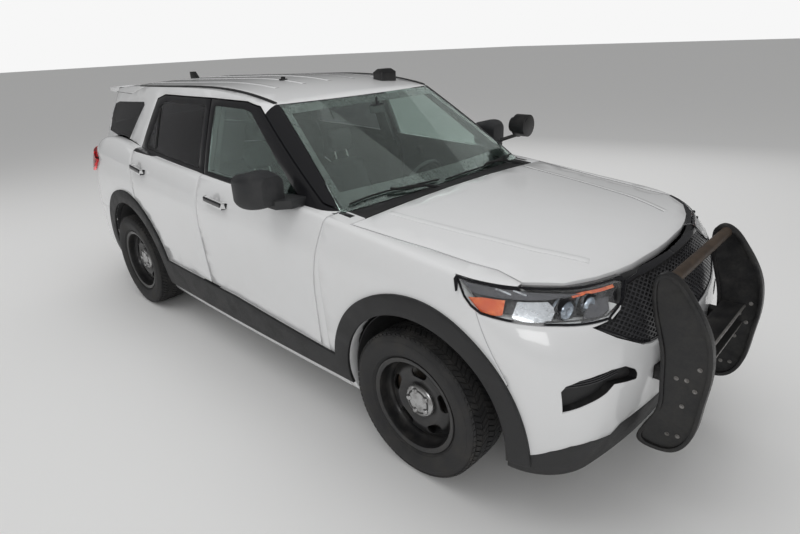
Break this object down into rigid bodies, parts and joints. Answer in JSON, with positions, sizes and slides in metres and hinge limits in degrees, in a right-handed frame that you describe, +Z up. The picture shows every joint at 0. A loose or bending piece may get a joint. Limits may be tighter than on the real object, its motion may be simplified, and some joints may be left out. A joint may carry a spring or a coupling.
{
  "type": "police patrol car",
  "caption": "White five-door patrol car with black trim, steel wheels, push bumper and pillar spotlight; its wheels, steering, doors, hood and liftgate move.",
  "frame": {"origin": "on the ground under the middle of the car's overall box", "axes": "+X forward along the car, +Y to its left, +Z up"},
  "size_m": [5.2417, 2.2748, 1.7839],
  "materials": {
    "white_paint": "gloss",
    "black_plastic": "textured",
    "clear_glass": "clear, lightly green",
    "dark_glass": "dark privacy tint",
    "lamp_lens": "clear",
    "red_lens": "clear red",
    "lamp_body": "dark",
    "tyre_rubber": "matt",
    "wheel_steel": "gloss black",
    "chassis_steel": "dark",
    "dark_paint": "satin",
    "bumper_paint": "powder coat",
    "exhaust_steel": "dull",
    "seat_cloth": "woven",
    "cabin_plastic": "grained"
  },
  "bodies": {
    "body": {"arch_liners": "black_plastic", "body_side_left": "white_paint", "body_side_right": "white_paint", "cowl_panel": "black_plastic", "dashboard": "cabin_plastic", "drive_shaft": "chassis_steel", "engine_block": "dark_paint", "exhaust": "exhaust_steel", "floor_pan": "dark_paint", "front_bumper_cover": "white_paint", "front_fenders": "white_paint", "front_intakes": "black_plastic", "front_seat_left": "seat_cloth", "front_seat_right": "seat_cloth", "front_structure": "dark_paint", "front_suspension": "chassis_steel", "fuel_tank": "dark_paint", "grille": "black_plastic", "headlamp_housings": "lamp_body", "headlamp_lenses": "lamp_lens", "lower_valance": "black_plastic", "push_bumper": "bumper_paint", "quarter_glasses": "dark_glass", "rear_bumper_cover": "white_paint", "rear_seat": "seat_cloth", "rear_suspension": "chassis_steel", "roof_antennas": "black_plastic", "roof_mouldings": "black_plastic", "roof_panel": "white_paint", "side_trim": "black_plastic", "spotlight": "bumper_paint", "tail_lamp_housings": "lamp_body", "tail_lamp_lenses": "red_lens", "windscreen": "clear_glass"},
    "front_left_wheel": {"tyre_front_left": "tyre_rubber", "wheel_front_left": "wheel_steel"},
    "front_left_door": {"front_door_left": "white_paint", "front_door_glass_left": "clear_glass", "mirror_left": "black_plastic"},
    "front_right_wheel": {"tyre_front_right": "tyre_rubber", "wheel_front_right": "wheel_steel"},
    "front_right_door": {"front_door_right": "white_paint", "front_door_glass_right": "clear_glass", "mirror_right": "black_plastic"},
    "rear_left_wheel": {"tyre_rear_left": "tyre_rubber", "wheel_rear_left": "wheel_steel"},
    "rear_left_door": {"rear_door_left": "white_paint", "rear_door_glass_left": "dark_glass"},
    "rear_right_wheel": {"tyre_rear_right": "tyre_rubber", "wheel_rear_right": "wheel_steel"},
    "rear_right_door": {"rear_door_right": "white_paint", "rear_door_glass_right": "dark_glass"},
    "left_knuckle": {"front_knuckle_left": "chassis_steel"},
    "right_knuckle": {"front_knuckle_right": "chassis_steel"},
    "hood": {"hood": "white_paint"},
    "liftgate": {"liftgate": "white_paint", "liftgate_glass": "dark_glass"},
    "steering_wheel": {"steering_wheel": "cabin_plastic"}
  },
  "joints": [
    {"name": "front_left_spin", "type": "hinge", "parent": "left_knuckle", "child": "front_left_wheel", "pos_m": [1.5525, 0.85, 0.376], "axis": [0, 1, 0], "continuous": true},
    {"name": "front_right_spin", "type": "hinge", "parent": "right_knuckle", "child": "front_right_wheel", "pos_m": [1.5525, -0.85, 0.376], "axis": [0, 1, 0], "continuous": true},
    {"name": "rear_left_spin", "type": "hinge", "parent": "body", "child": "rear_left_wheel", "pos_m": [-1.4725, 0.85, 0.376], "axis": [0, 1, 0], "continuous": true},
    {"name": "rear_right_spin", "type": "hinge", "parent": "body", "child": "rear_right_wheel", "pos_m": [-1.4725, -0.85, 0.376], "axis": [0, 1, 0], "continuous": true},
    {"name": "left_steer", "type": "hinge", "parent": "body", "child": "left_knuckle", "pos_m": [1.5525, 0.74, 0.376], "axis": [0, 0, 1], "range_deg": [-36, 36]},
    {"name": "right_steer", "type": "hinge", "parent": "body", "child": "right_knuckle", "pos_m": [1.5525, -0.74, 0.376], "axis": [0, 0, 1], "range_deg": [-36, 36]},
    {"name": "steering_wheel_turn", "type": "hinge", "parent": "body", "child": "steering_wheel", "pos_m": [0.4675, 0.37, 1.01], "axis": [-0.9135, 0, 0.4067], "range_deg": [-510, 510]},
    {"name": "front_left_door_hinge", "type": "hinge", "parent": "body", "child": "front_left_door", "pos_m": [0.8525, 0.975, 0.85], "axis": [0, 0, -1], "range_deg": [0, 65]},
    {"name": "rear_left_door_hinge", "type": "hinge", "parent": "body", "child": "rear_left_door", "pos_m": [-0.2825, 0.975, 0.85], "axis": [0, 0, -1], "range_deg": [0, 68]},
    {"name": "front_right_door_hinge", "type": "hinge", "parent": "body", "child": "front_right_door", "pos_m": [0.8525, -0.975, 0.85], "axis": [0, 0, 1], "range_deg": [0, 65]},
    {"name": "rear_right_door_hinge", "type": "hinge", "parent": "body", "child": "rear_right_door", "pos_m": [-0.2825, -0.975, 0.85], "axis": [0, 0, 1], "range_deg": [0, 68]},
    {"name": "hood_hinge", "type": "hinge", "parent": "body", "child": "hood", "pos_m": [1.1225, 0, 1.187], "axis": [0, -1, 0], "range_deg": [0, 48]},
    {"name": "liftgate_hinge", "type": "hinge", "parent": "body", "child": "liftgate", "pos_m": [-2.1995, 0, 1.703], "axis": [0, 1, 0], "range_deg": [0, 78]}
  ],
  "couplings": [
    {"joint": "right_steer", "follows": "left_steer", "ratio": 1},
    {"joint": "steering_wheel_turn", "follows": "left_steer", "ratio": 14}
  ]
}
